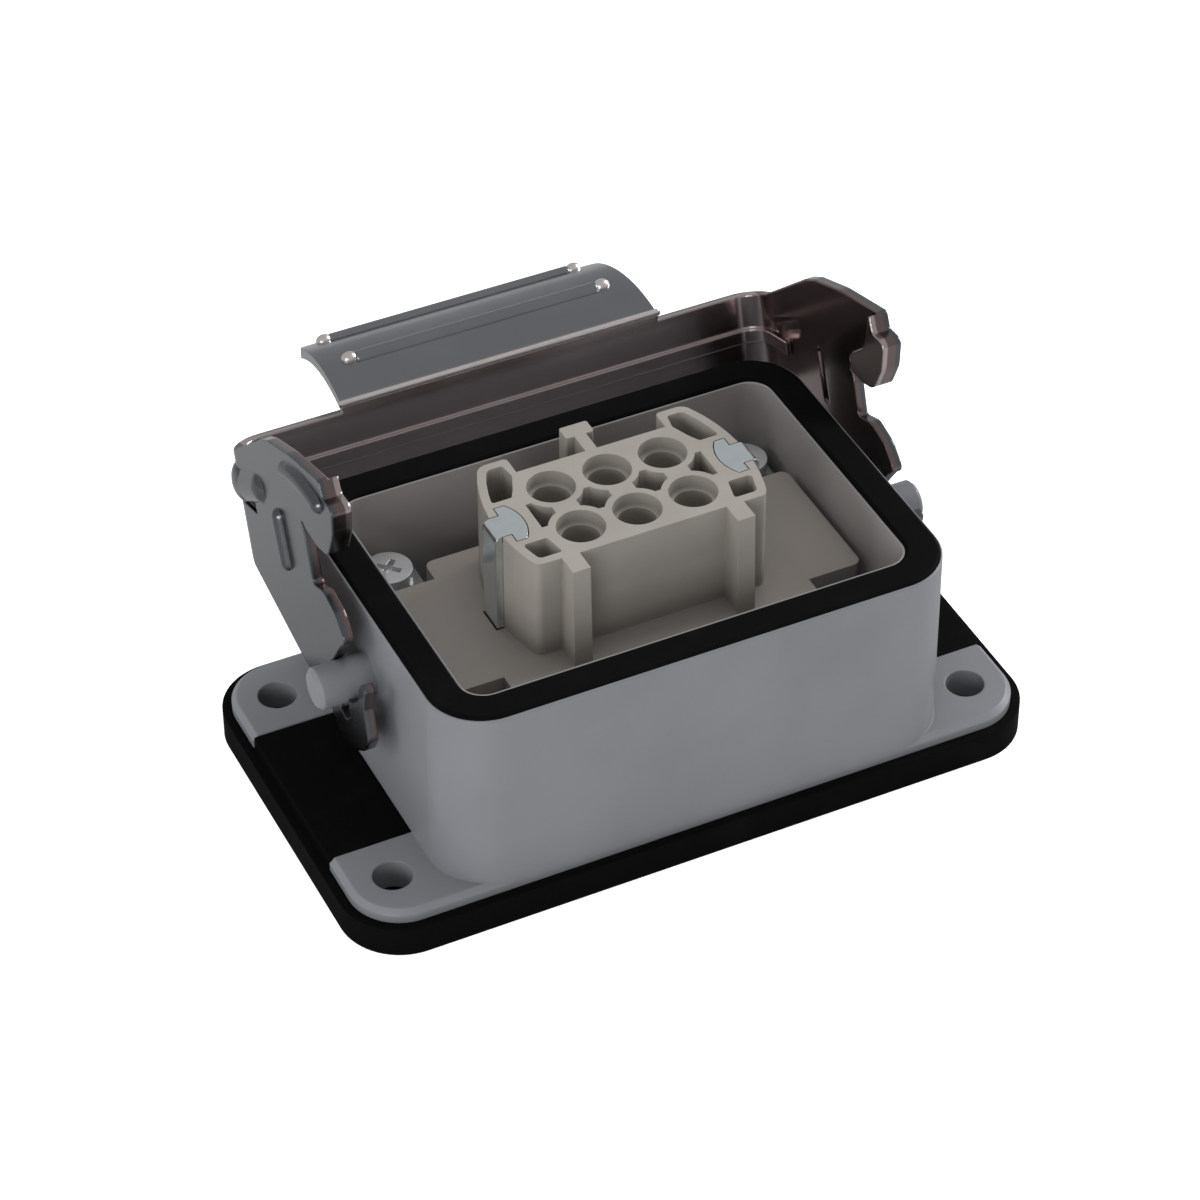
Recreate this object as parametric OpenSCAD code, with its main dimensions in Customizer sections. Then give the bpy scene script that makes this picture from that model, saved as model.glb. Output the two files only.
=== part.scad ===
// Panel-mount rectangular connector: a die-cast housing with a sprung locking lever,
// moulded seals and a six-pole screw-terminal insert. All sizes are in millimetres.
// The origin is the middle of the panel hole pattern, on the panel face, with +Z out of the panel.

/* [Insert] */
// Contact spacing along the insert
contact_pitch_x = 6.7; // [6.4:0.1:7.0]
// Contact spacing across the insert
contact_pitch_y = 7.4; // [7.2:0.1:7.8]
// Radius of the funnel at the mouth of each contact cavity
funnel_r = 2.7; // [2.5:0.05:2.8]
// Depth of that funnel
funnel_depth = 1.6; // [1:0.1:2.5]
// Radius of the contact cavity below the funnel
cavity_r = 2.15; // [2.1:0.05:2.3]
// Plastic left between a funnel and the outside of the insert
insert_wall = 1.2; // [1:0.1:1.6]
// Height of the insert above its mounting plate
insert_rise = 12.7; // [11:0.1:15]
// Thickness of the mounting plate
plate_t = 2.7; // [2.2:0.1:3.2]
// Depth of the terminal block below the mounting plate
block_depth = 15.3; // [14.6:0.1:16]
// Depth of the lightening pockets in the mating face
pocket_depth = 5; // [3:0.5:8]

/* [Insert fixing] */
// Fixing screw spacing along the housing
screw_pitch_x = 44; // [43.6:0.1:46]
// Fixing screw spacing across the housing
screw_pitch_y = 27; // [26.4:0.1:29]
// Height of the screw bosses above the panel
boss_top = 17.9; // [17:0.1:19]
// Radius of the screw bosses
boss_r = 3.4; // [3:0.1:3.6]
// Radius of the fixing screw shanks
screw_r = 1.45; // [1.2:0.05:1.6]
// Radius of the fixing screw heads
screw_head_r = 2.7; // [2.4:0.05:2.9]

/* [Contacts] */
// Radius of a socket barrel
socket_r = 1.95; // [1.7:0.05:2]
// Radius of the bore that takes the mating pin
socket_bore_r = 1.25; // [1:0.05:1.4]
// Depth of the socket mouth below the mating face
socket_drop = 4.1; // [3:0.1:6]
// Side of the terminal body along the insert
terminal_l = 5; // [4.6:0.1:5.2]
// Side of the terminal body across the insert
terminal_w = 5.4; // [5:0.1:5.6]
// Height of the terminal body
terminal_h = 9; // [8.4:0.1:9.6]
// Radius of the wire hole
wire_r = 1.8; // [1.6:0.05:1.9]
// Radius of the terminal screws
clamp_r = 1.4; // [1.2:0.05:1.5]

/* [Earth brackets] */
// Sheet thickness
strip_t = 0.9; // [0.7:0.05:1]
// Width of the upright strip
strip_w = 3.3; // [2.8:0.1:3.8]
// Width of the hooked tab in the mating face
tab_w = 5.9; // [5.2:0.1:6.2]
// Length of the hooked tab
tab_l = 2.1; // [1.8:0.1:2.3]
// Radius of the earth screw shanks
earth_r = 1.9; // [1.6:0.05:2.1]

/* [Housing] */
// Wall thickness at the rim
wall_t = 4.15; // [3.8:0.05:4.6]
// Height of the rim above the panel
housing_h = 28.2; // [27.5:0.1:29]
// Draft of the walls, per side over their height
draft = 0.15; // [0.05:0.05:0.3]
// Corner radius of the walls at the rim
rim_corner_r = 6.5; // [5.5:0.1:7.5]
// Corner radius of the cavity at the rim
cavity_corner_r = 2.7; // [2:0.1:3.5]
// Height of the flange's upper face above the panel
flange_top = 5.3; // [4.8:0.1:6]
// Corner radius of the flange
flange_corner_r = 6; // [4.5:0.1:7]
// Panel hole spacing across the housing
hole_pitch_y = 32; // [30:0.1:33]
// Distance from the end wall to the panel hole centres
hole_to_wall = 4.75; // [4.6:0.05:5.5]
// Distance from the panel hole centres to the flange's ends
hole_to_end = 5.1; // [4.6:0.1:6]
// Radius of the panel holes
hole_r = 2.2; // [1.9:0.05:2.4]

/* [Seals] */
// Thickness of the base gasket below the flange
gasket_t = 1.5; // [1:0.1:2]
// Height of the gasket's outer lip above the panel
lip_top = 3.75; // [3:0.05:4.2]
// Thickness of the outer lip
lip_t = 1.1; // [0.8:0.05:1.5]
// Width of the end pads
pad_w = 21.3; // [20:0.1:22]
// Height by which the rim seal stands above the rim
seal_proud = 0.35; // [0.2:0.05:0.8]
// Depth of the rim seal's seat
seal_seat = 1; // [0.8:0.1:1.4]
// Thickness of the land on each side of the rim seal
land_t = 0.2; // [0.15:0.05:0.4]

/* [Lever] */
// Height of the pivot pegs above the panel
peg_z = 19.6; // [19:0.1:20.2]
// Radius of the pivot pegs
peg_r = 2.4; // [2.2:0.05:2.6]
// Radial running clearance of the lever's eyes on the pegs
eye_play = 0.05; // [0.02:0.01:0.1]
// Length of the pegs outside the lever
peg_stickout = 3.05; // [2.5:0.05:3.5]
// Sheet thickness of the lever
sheet_t = 1.2; // [1:0.05:1.5]
// Gap between the housing's end wall and the lever's arms
arm_gap = 2.2; // [1.8:0.05:2.6]
// Outer radius of the bends between the web and the arms
bend_r = 4.2; // [3.5:0.1:5]
// Lean of the web away from the housing, in degrees
web_lean = 17.2; // [14:0.1:20]
// Distance from the pivot axis to the web's outer face
web_reach = 27.4; // [26.5:0.1:28.5]
// Thickness added to the inner side of the locking noses
nose_t = 1.1; // [0.6:0.1:1.5]
// Half width of the finger tongue where it leaves the web
tongue_root = 20; // [17:0.5:22]
// Half width of the finger tongue at its tip
tongue_tip = 18.8; // [16:0.1:19]
// Radius of the finger tongue's arch
tongue_r = 17; // [16:0.5:20]

/* [Hidden] */
$fn = 64;
eps = 0.01;
arc_step = 20;

// Clearances between fitted pieces
fit = 0.05;
slack = 0.1;
screw_fit = 0.05;
shadow_gap = 0.12;

// Insert
row_y = contact_pitch_y / 2;
contacts = [for (side = [-1, 1], place = [-1:1]) [place * contact_pitch_x, side * row_y, side]];
body_y = row_y + funnel_r + insert_wall;
cluster_x = contact_pitch_x + funnel_r;
tab_x = cluster_x + insert_wall + 1.1;
seat_x = tab_x + tab_l + 1.1;
end_x = seat_x + 0.1;
end_round_r = 22;
end_corner_r = 1;
wing_corner_r = 1.5;
wing_y = body_y + 2.6;
rib_top_y = body_y + 2.7;
rib_foot_y = body_y + 3.2;
rib_w = 2.1;
rib_x = cluster_x + 0.35;
wing_x = cluster_x - 0.4;
key_neck_w = 1.4;
key_corner_r = 0.3;
key_head_w = 3.4;
key_head_l = 2;
key_y = body_y + 4.8;
plate_margin_x = 3;
plate_y = body_y + 4.4;
notch_x = 3.6;
notch_y = 4.5;
plate_corner_r = 1;
plate_z = boss_top + strip_t;
plate_top = plate_z + plate_t;
insert_top = plate_top + insert_rise;
block_z = plate_z - block_depth;
block_y = row_y + terminal_w / 2 + 4.1;
block_x = seat_x - 0.8;
block_corner_r = 1;
pocket_web = 0.8;
end_wall = 1;

// Contacts
socket_top = insert_top - socket_drop;
terminal_z = block_z + 1.2;
terminal_top = terminal_z + terminal_h;
clamp_z = terminal_z + terminal_h / 2;
wire_depth = terminal_h - 1.5;
clamp_head_r = clamp_r + 0.6;
clamp_head_h = 1.8;
clamp_head_gap = 0.3;
driver_hole_r = clamp_head_r + 0.25;
guard_t = 0.3;
guard_y = wire_r * 0.62;
guard_w = 2 * sqrt(pow(wire_r, 2) - pow(guard_y + guard_t, 2)) - 2 * fit;
guard_foot = 1.1;

// Earth brackets and screws
bracket_x = screw_pitch_x / 2 + screw_head_r + 0.5;
bracket_y = screw_pitch_y / 2 + screw_head_r + 0.4;
bracket_neck_w = 8;
bracket_corner_r = 1;
tab_round_r = 5;
earth_x = screw_pitch_x / 2 - 1.5;
earth_head_r = earth_r + 1;
earth_head_h = 2.4;
earth_reach = plate_t - 0.9;
screw_head_h = 2.2;
screw_l = 9;
slot_w = 0.7;
slot_depth = 0.8;

// Housing
cavity_l = screw_pitch_x + 2 * plate_margin_x + 2.2;
cavity_w = screw_pitch_y + 8.3;
rim_l = cavity_l + 2 * wall_t;
rim_w = cavity_w + 2 * wall_t;
foot_l = rim_l + 2 * draft;
foot_w = rim_w + 2 * draft;
hole_pitch_x = rim_l + 2 * hole_to_wall;
flange_l = hole_pitch_x + 2 * hole_to_end;
flange_w = foot_w;
flange_edge = 0.6;
wall_h = housing_h - gasket_t;
rim_edge = 0.15;
opening_l = cavity_l + 0.8;
opening_w = cavity_w + 0.6;

// Rim seal
seal_z = housing_h - seal_seat;
seal_top = housing_h + seal_proud;
seal_l = rim_l - 2 * land_t;
seal_w = rim_w - 2 * land_t;
seal_hole_l = cavity_l + 2 * land_t;
seal_hole_w = cavity_w + 2 * land_t;
seal_edge = 0.3;
tongue_seal_w = 1.5;
tongue_seal_h = 1.6;

// Lever
arm_in = rim_l / 2 + arm_gap;
arm_out = arm_in + sheet_t;
peg_end = arm_out + peg_stickout;
peg_edge = 0.4;
tongue_c = [web_reach + 8.5, 11.75 - tongue_r];
tongue_end = 37;
tip_corner_r = 1.6;
lever_span = 120;
bead_root = 0.2;
finger_rib_y = [tongue_c.x + 1.7, tongue_c.x + 9.3];
finger_rib_r = 0.85;
web_bead_h = 13.1;
web_bead_w = 1.6;
web_bead_t = 0.5;
web_bead_end = web_reach - 8.4;

// Corners of a lever arm seen from the side, from the pivot axis: [y, z, rounding]
arm_corners = [
    [web_reach + 6.1, 9.2, 0],
    [web_reach + 1.5, 10.8, 2.5],
    [18.6, 20.0, 7],
    [11.5, 22.9, 9],
    [3.1, 25.4, 0.5],
    [2.2, 23.6, 0.5],
    [-0.3, 23.8, 0.8],
    [-0.2, 20.2, 3],
    [1.3, 16.6, 1.6],
    [4.3, 15.6, 2],
    [7.5, 15.7, 0.6],
    [9.1, 16.6, 0.4],
    [7.4, 12.9, 3],
    [6.1, 9.0, 0.5],
    [3.3, 10.1, 1.6],
    [0.1, 9.3, 1.6],
    [-2.3, 7.1, 0.8],
    [-1.0, 5.8, 0.3],
    [0.1, 4.2, 0.8],
    [1.7, 1.7, 0],
    [0, 0, 0],
    [-2.3, -0.8, 0],
    [-3.5, -0.3, 0.4],
    [-5.1, 1.4, 1],
    [-5.5, 3.3, 1],
    [-6.1, 4.4, 0.3],
    [-7.2, 4.2, 0.3],
    [-6.7, 1.2, 1],
    [-7.6, -2.6, 1.4],
    [-6.2, -5.0, 1.6],
    [-3.6, -6.9, 2],
    [0.4, -8.1, 1.6],
    [2.8, -5.9, 1],
    [11.6, -4.5, 4],
    [web_reach + 2.1, -0.6, 0]
];
// Spring relief below the eye
relief_corners = [[-2.4, -0.8, 0], [-2.6, -2.9, 0.3], [-1.4, -4.2, 0.4], [0.2, -3.8, 0.3], [0.8, -1.5, 0]];
// Thick part of a locking nose
nose_corners = [[-2, 14, 0], [6.8, 14, 0], [6.4, 18.2, 1], [3.8, 20.6, 1.5], [2.9, 27, 0], [-2, 27, 0]];

function unit(v) = v / norm(v);
function turned(v, angle) = [v.x * cos(angle) - v.y * sin(angle), v.x * sin(angle) + v.y * cos(angle)];

// Points of one corner of an outline, rounded to the radius in its third value
function corner_points(before, corner, after) =
    let (
        p = [corner.x, corner.y],
        a = unit([before.x, before.y] - p),
        b = unit([after.x, after.y] - p),
        half = acos(a * b) / 2,
        centre = p + unit(a + b) * corner[2] / sin(half),
        start = p + a * corner[2] / tan(half) - centre,
        sense = -sign(a.x * b.y - a.y * b.x),
        sweep = 180 - 2 * half,
        steps = max(1, ceil(sweep / arc_step))
    )
    corner[2] == 0 ? [p] : [for (i = [0:steps]) centre + turned(start, sense * sweep * i / steps)];

function rounded(corners) =
    let (n = len(corners))
    [for (i = [0:n - 1]) each corner_points(corners[(i + n - 1) % n], corners[i], corners[(i + 1) % n])];

module rounded_rect(l, w, r) {
    square([l - 2 * r, w], center = true);
    square([l, w - 2 * r], center = true);
    for (x = [-1, 1], y = [-1, 1]) translate([x * (l / 2 - r), y * (w / 2 - r)]) circle(r);
}

module plate(l, w, r, h) {
    linear_extrude(h) rounded_rect(l, w, r);
}

// Box with rounded upright corners whose four sides lean out by flare over its height
module drafted_box(l, w, r, h, flare) {
    rotate([90, 0, 0]) linear_extrude(w - 2 * r, center = true) drafted_side(l, h, flare);
    rotate([90, 0, 90]) linear_extrude(l - 2 * r, center = true) drafted_side(w, h, flare);
    for (x = [-1, 1], y = [-1, 1])
        translate([x * (l / 2 - r), y * (w / 2 - r), 0]) cylinder(h, r, r + flare);
}

module drafted_side(l, h, flare) {
    polygon([[-l / 2, 0], [l / 2, 0], [l / 2 + flare, h], [-l / 2 - flare, h]]);
}

// Extrudes a side view, drawn as y and z, along X
module along_x(l) {
    rotate([90, 0, 90]) linear_extrude(l, center = true) children();
}

module both_ends() {
    children();
    mirror([1, 0, 0]) children();
}

module at_panel_holes() {
    for (x = [-1, 1], y = [-1, 1]) translate([x * hole_pitch_x / 2, y * hole_pitch_y / 2, 0]) children();
}

module at_fixing_screws() {
    for (x = [-1, 1], y = [-1, 1]) translate([x * screw_pitch_x / 2, y * screw_pitch_y / 2, 0]) children();
}

// Places a child that points along +Y on the outer side of a contact, with y from the contact's axis
module at_contact(c) {
    translate([c.x, c.y, 0]) rotate([0, 0, c.z > 0 ? 0 : 180]) children();
}

// ---- Housing ----

module flange() {
    difference() {
        union() {
            plate(flange_l, flange_w, flange_corner_r, flange_top - gasket_t - flange_edge);
            translate([0, 0, flange_top - gasket_t - flange_edge])
                drafted_box(flange_l, flange_w, flange_corner_r, flange_edge, -flange_edge);
        }
        both_ends() translate([rim_l / 2, -pad_w / 2 - slack, -eps])
            cube([flange_l, pad_w + 2 * slack, flange_top]);
    }
}

module walls() {
    drafted_box(foot_l, foot_w, rim_corner_r + draft, wall_h - rim_edge, -draft);
    translate([0, 0, wall_h - rim_edge]) drafted_box(rim_l, rim_w, rim_corner_r, rim_edge, -rim_edge);
}

module pegs() {
    both_ends() translate([rim_l / 2 - wall_t / 2, 0, peg_z]) rotate([0, 90, 0]) {
        l = peg_end - rim_l / 2 + wall_t / 2;
        cylinder(l - peg_edge, r = peg_r);
        translate([0, 0, l - peg_edge]) cylinder(peg_edge, peg_r, peg_r - peg_edge);
    }
}

module seal_frame(l, w, r, hole_l, hole_w, hole_r, h) {
    linear_extrude(h) difference() {
        rounded_rect(l, w, r);
        rounded_rect(hole_l, hole_w, hole_r);
    }
}

// Frame along the middle of the rim seal, for the seal's tongue and for its groove
module middle_frame(width, h) {
    mid_l = (seal_l + seal_hole_l) / 2;
    mid_w = (seal_w + seal_hole_w) / 2;
    mid_r = (rim_corner_r + cavity_corner_r) / 2;
    seal_frame(mid_l + width, mid_w + width, mid_r + width / 2,
               mid_l - width, mid_w - width, mid_r - width / 2, h);
}

module housing() color("slategray") {
    difference() {
        union() {
            translate([0, 0, gasket_t]) {
                flange();
                walls();
            }
            pegs();
        }
        translate([0, 0, gasket_t - eps])
            drafted_box(cavity_l - 2 * draft, cavity_w - 2 * draft, cavity_corner_r - draft, wall_h + 2 * eps, draft);
        translate([0, 0, seal_z])
            seal_frame(seal_l, seal_w, rim_corner_r - land_t, seal_hole_l, seal_hole_w,
                       cavity_corner_r + land_t, seal_seat + eps);
        translate([0, 0, seal_z - tongue_seal_h]) middle_frame(tongue_seal_w + slack, tongue_seal_h + eps);
        at_panel_holes() cylinder(flange_top + 1, r = hole_r);
    }
    at_fixing_screws() difference() {
        translate([0, 0, gasket_t]) cylinder(boss_top - gasket_t, r = boss_r);
        translate([0, 0, boss_top - screw_l]) cylinder(screw_l + eps, r = screw_r + screw_fit);
    }
    // Webs that tie the bosses to the side walls
    for (x = [-1, 1], y = [-1, 1])
        translate([x * screw_pitch_x / 2 - boss_r / 2, y * (cavity_w / 2 + 0.4) - 1.2, gasket_t])
            cube([boss_r, 2.4, boss_top - gasket_t]);
}

// ---- Seals ----

module base_gasket() color("black") {
    difference() {
        union() {
            plate(flange_l + 2 * lip_t, flange_w + 2 * lip_t, flange_corner_r + lip_t, lip_top);
            both_ends() translate([foot_l / 2 + slack, -pad_w / 2, gasket_t - eps])
                cube([(flange_l - foot_l) / 2 - 2 * slack, pad_w, flange_top - gasket_t - slack + eps]);
        }
        difference() {
            translate([0, 0, gasket_t]) plate(flange_l + 2 * fit, flange_w + 2 * fit, flange_corner_r + fit, lip_top);
            both_ends() translate([foot_l / 2 + slack, -pad_w / 2, 0]) cube([flange_l, pad_w, flange_top + 1]);
        }
        translate([0, 0, -eps]) plate(opening_l, opening_w, cavity_corner_r, flange_top);
        at_panel_holes() translate([0, 0, -eps]) cylinder(flange_top, r = hole_r);
    }
}

module rim_gasket() color("black") {
    l = seal_l - 2 * fit;
    w = seal_w - 2 * fit;
    r = rim_corner_r - land_t - fit;
    hole_l = seal_hole_l + 2 * fit;
    hole_w = seal_hole_w + 2 * fit;
    inner_r = cavity_corner_r + land_t + fit;
    h = seal_seat + seal_proud;
    difference() {
        translate([0, 0, seal_z]) {
            plate(l, w, r, h - seal_edge);
            translate([0, 0, h - seal_edge]) drafted_box(l, w, r, seal_edge, -seal_edge);
        }
        translate([0, 0, seal_z - eps]) plate(hole_l, hole_w, inner_r, h);
        translate([0, 0, seal_top - seal_edge]) drafted_box(hole_l, hole_w, inner_r, seal_edge + eps, seal_edge + eps);
    }
    translate([0, 0, seal_z - tongue_seal_h + slack]) middle_frame(tongue_seal_w, tongue_seal_h);
}

// ---- Insert ----

// Point of the tower's barrel-shaped end, at an angle from its crown and a depth inside it
function on_end(angle, depth = 0) =
    [end_x - end_round_r + (end_round_r - depth) * cos(angle), (end_round_r - depth) * sin(angle)];

function end_corner(y, r, depth = 0) = concat(on_end(asin(y / (end_round_r - depth)), depth), r);

module insert_outline() {
    right = concat(
        [end_corner(-body_y, end_corner_r)],
        [for (angle = [-15:5:20]) concat(on_end(angle), 0)],
        [end_corner(wing_y, wing_corner_r), [wing_x, wing_y, 0.5], [wing_x, body_y, 0]]
    );
    left = [for (i = [len(right) - 1:-1:0]) [-right[i].x, right[i].y, right[i][2]]];
    polygon(rounded(concat(right, left)));
}

// Pocket between neighbouring cavities: a rectangle bitten by the cavity walls
module star_pocket(x, l, w) {
    difference() {
        translate([x, 0]) square([l, w], center = true);
        for (c = contacts) translate([c.x, c.y]) circle(funnel_r + pocket_web);
    }
}

module pockets() {
    star_pocket(contact_pitch_x / 2, 3.8, 3.8);
    star_pocket(cluster_x - 0.1, 2.4, 4.2);
    foot = tab_w / 2 + 0.9;
    polygon(rounded([[cluster_x + 0.3, foot + 3.4, 0.3], [cluster_x + 1.2, foot + 1.2, 0.5], [cluster_x + 1.9, foot, 0.3],
                     end_corner(foot, 0.3, end_wall), concat(on_end(15, end_wall), 0), concat(on_end(20, end_wall), 0),
                     end_corner(wing_y - end_wall, 0.8, end_wall), [cluster_x + 0.6, wing_y - end_wall, 0.3]]));
    polygon(rounded([[cluster_x + 1.4, -foot, 0.3], [cluster_x + 0.8, -body_y + end_wall, 0.3],
                     end_corner(-body_y + end_wall, 0.6, end_wall), end_corner(-foot, 0.4, end_wall)]));
}

module tab_outline(gap) {
    difference() {
        translate([tab_x - gap, -tab_w / 2 - gap]) square([tab_l + 2 * gap, tab_w + 2 * gap]);
        difference() {
            translate([tab_x - 1, -tab_w]) square([2, 2 * tab_w]);
            translate([tab_x + tab_round_r, 0]) circle(tab_round_r + gap);
        }
    }
    translate([tab_x + tab_l - 1, -strip_w / 2 - gap]) square([seat_x - tab_x - tab_l + 1, strip_w + 2 * gap]);
}

module guide_ribs() {
    both_ends() translate([rib_x, 0, 0]) along_x(rib_w)
        polygon([[-body_y + 1, plate_top - 1], [-rib_foot_y, plate_top - 1], [-rib_top_y, insert_top], [-body_y + 1, insert_top]]);
}

module key() {
    translate([0, 0, plate_top - 1]) linear_extrude(insert_rise + 1) {
        translate([-key_neck_w / 2, body_y - 1]) square([key_neck_w, key_y - body_y]);
        translate([0, key_y - key_head_l / 2]) rounded_rect(key_head_w, key_head_l, key_corner_r);
    }
}

module mounting_plate() {
    l = screw_pitch_x + 2 * plate_margin_x;
    waist_l = screw_pitch_x - 2 * notch_x;
    waist_w = screw_pitch_y - 2 * notch_y;
    translate([0, 0, plate_z]) {
        plate(waist_l, 2 * plate_y, plate_corner_r, plate_t);
        plate(l, waist_w, plate_corner_r, plate_t);
    }
}

module contact_cavity(c) {
    translate([c.x, c.y, insert_top - funnel_depth]) cylinder(funnel_depth + eps, r = funnel_r);
    translate([c.x, c.y, terminal_top - eps]) cylinder(insert_top - terminal_top, r = cavity_r);
    translate([c.x, c.y, block_z - eps])
        linear_extrude(terminal_top - block_z + eps)
            square([terminal_l + 2 * slack, terminal_w + 2 * slack], center = true);
    at_contact(c) translate([0, 0, clamp_z]) rotate([-90, 0, 0]) cylinder(block_y, r = driver_hole_r);
}

module insert_body() color("tan") {
    difference() {
        union() {
            mounting_plate();
            translate([0, 0, plate_top - eps]) linear_extrude(insert_rise + eps) insert_outline();
            translate([0, 0, block_z]) plate(2 * block_x, 2 * block_y, block_corner_r, block_depth + eps);
            guide_ribs();
            key();
        }
        for (c = contacts) contact_cavity(c);
        translate([0, 0, insert_top - pocket_depth]) linear_extrude(pocket_depth + eps) both_ends() pockets();
        both_ends() {
            translate([0, 0, insert_top - strip_t]) linear_extrude(strip_t + eps) tab_outline(shadow_gap);
            translate([seat_x, -strip_w / 2 - shadow_gap, plate_z - eps])
                cube([strip_t + shadow_gap, strip_w + 2 * shadow_gap, insert_top]);
            translate([earth_x, 0, plate_z - eps]) cylinder(earth_reach + slack + eps, r = earth_r + screw_fit);
        }
    }
}

// ---- Contacts and terminals ----

module socket_contact(c) color("goldenrod") {
    difference() {
        union() {
            translate([c.x, c.y, terminal_top - eps]) cylinder(socket_top - terminal_top + eps, r = socket_r);
            translate([c.x, c.y, terminal_z])
                linear_extrude(terminal_h) square([terminal_l, terminal_w], center = true);
        }
        translate([c.x, c.y, terminal_top + 3]) cylinder(socket_top, r = socket_bore_r);
        translate([c.x, c.y, terminal_z - eps]) cylinder(wire_depth, r = wire_r);
        at_contact(c) translate([0, 0, clamp_z]) rotate([-90, 0, 0]) cylinder(terminal_w, r = clamp_r + screw_fit);
    }
}

module wire_guard(c) color("silver") {
    at_contact(c) {
        translate([-guard_w / 2, guard_y, terminal_z - guard_t]) cube([guard_w, guard_t, wire_depth - slack]);
        translate([-guard_w / 2, guard_y, terminal_z - guard_t]) cube([guard_w, guard_foot, guard_t]);
    }
}

module terminal_screws() color("silver") {
    for (c = contacts) at_contact(c) translate([0, 0, clamp_z]) rotate([-90, 0, 0]) {
        tip = guard_y + guard_t;
        seat = terminal_w / 2 + clamp_head_gap;
        translate([0, 0, tip]) cylinder(seat - tip + eps, r = clamp_r);
        difference() {
            translate([0, 0, seat]) cylinder(clamp_head_h, r = clamp_head_r);
            translate([-clamp_head_r, -slot_w / 2, seat + clamp_head_h - slot_depth])
                cube([2 * clamp_head_r, slot_w, slot_depth + eps]);
        }
    }
}

// ---- Earth brackets and their screws ----

module bracket_base_outline() {
    inner_x = screw_pitch_x / 2 - notch_x;
    translate([(inner_x + bracket_x) / 2, 0])
        rounded_rect(bracket_x - inner_x, 2 * bracket_y, bracket_corner_r);
    translate([seat_x, -bracket_neck_w / 2]) square([inner_x + 1 - seat_x, bracket_neck_w]);
}

module earth_bracket_right() color("lightsteelblue") {
    translate([0, 0, boss_top]) linear_extrude(strip_t) difference() {
        bracket_base_outline();
        translate([earth_x, 0]) circle(earth_r + slack);
        for (y = [-1, 1]) translate([screw_pitch_x / 2, y * screw_pitch_y / 2]) circle(screw_r + slack);
    }
    rotate([90, 0, 0]) linear_extrude(strip_w, center = true) {
        translate([seat_x, boss_top]) square([strip_t, insert_top - strip_t - boss_top]);
        translate([seat_x, insert_top - strip_t]) intersection() {
            circle(strip_t);
            square(strip_t);
        }
    }
    translate([0, 0, insert_top - strip_t]) linear_extrude(strip_t) tab_outline(0);
}

module earth_bracket_left() {
    mirror([1, 0, 0]) earth_bracket_right();
}

module earth_screws() color("silver") {
    both_ends() translate([earth_x, 0, boss_top]) {
        translate([0, 0, -eps]) cylinder(strip_t + earth_reach + eps, r = earth_r);
        difference() {
            translate([0, 0, -earth_head_h]) cylinder(earth_head_h, r = earth_head_r);
            translate([-earth_head_r, -slot_w / 2, -earth_head_h - eps]) cube([2 * earth_head_r, slot_w, slot_depth + eps]);
        }
    }
}

module fixing_screws() color("silver") {
    at_fixing_screws() translate([0, 0, plate_z]) difference() {
        union() {
            cylinder(screw_head_h, r = screw_head_r);
            translate([0, 0, -screw_l]) cylinder(screw_l + eps, r = screw_r);
        }
        for (turn = [45, 135]) rotate([0, 0, turn]) translate([-1.5, -slot_w / 2, screw_head_h - slot_depth])
            cube([3, slot_w, slot_depth + eps]);
    }
}

// ---- Lever ----
// Everything below is drawn from the pivot axis.

// Round-ended bead that stands out of the plane z = 0, from point a to point b
module bead(a, b, width, proud) {
    d = b - a;
    translate([a.x, a.y, 0]) rotate([0, 0, atan2(d.y, d.x)]) {
        rotate([90, 0, 90]) linear_extrude(norm(d)) bead_section(width, proud);
        for (x = [0, norm(d)]) translate([x, 0, 0]) bead_end(width, proud);
    }
}

// Round-ended bead along an arc about the point c
module arc_bead(c, arc_r, from, to, width, proud) {
    translate([c.x, c.y, 0]) {
        rotate([0, 0, from]) rotate_extrude(angle = to - from) translate([arc_r, 0]) bead_section(width, proud);
        for (turn = [from, to]) rotate([0, 0, turn]) translate([arc_r, 0, 0]) bead_end(width, proud);
    }
}

// Cross-section of a bead, with a short root below the plane
module bead_section(width, proud) {
    r = (pow(width / 2, 2) + pow(proud, 2)) / (2 * proud);
    intersection() {
        translate([0, proud - r]) circle(r);
        translate([-width / 2, -bead_root]) square([width, proud + bead_root]);
    }
}

module bead_end(width, proud) {
    rotate_extrude() intersection() {
        bead_section(width, proud);
        translate([0, -bead_root]) square([width, proud + bead_root]);
    }
}

module arm_beads(scale_w, proud) {
    arc_bead([4.2, 2.5], 19.4, 64, 92, 2 * scale_w, proud);
    bead([15.4, 11.6], [13.4, 6.5], 1.8 * scale_w, proud);
    bead([web_reach - 6.2, 11.2], [web_reach - 1.4, 8], 3.6 * scale_w, proud);
}

// Channel section of the lever, drawn across the web's leaning direction
module channel_outline(inset) {
    l = 2 * (arm_out - inset);
    translate([0, web_reach - inset - lever_span / 2]) rounded_rect(l, lever_span, max(bend_r - inset, 0.5));
}

module channel_band(outer_inset, inner_inset, h) {
    linear_extrude(h) difference() {
        channel_outline(outer_inset);
        channel_outline(inner_inset);
    }
}

module lean() {
    rotate([-web_lean, 0, 0]) children();
}

module arm_profile() {
    difference() {
        polygon(rounded(arm_corners));
        polygon(rounded(relief_corners));
        circle(peg_r + eye_play);
    }
}

module channel() {
    intersection() {
        lean() translate([0, 0, -lever_span / 2]) channel_band(0, sheet_t, lever_span);
        along_x(2 * arm_out + 1) arm_profile();
    }
}

module noses() {
    both_ends() translate([arm_in - nose_t / 2 + eps, 0, 0]) along_x(nose_t) intersection() {
        polygon(rounded(arm_corners));
        polygon(rounded(nose_corners));
    }
}

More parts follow.
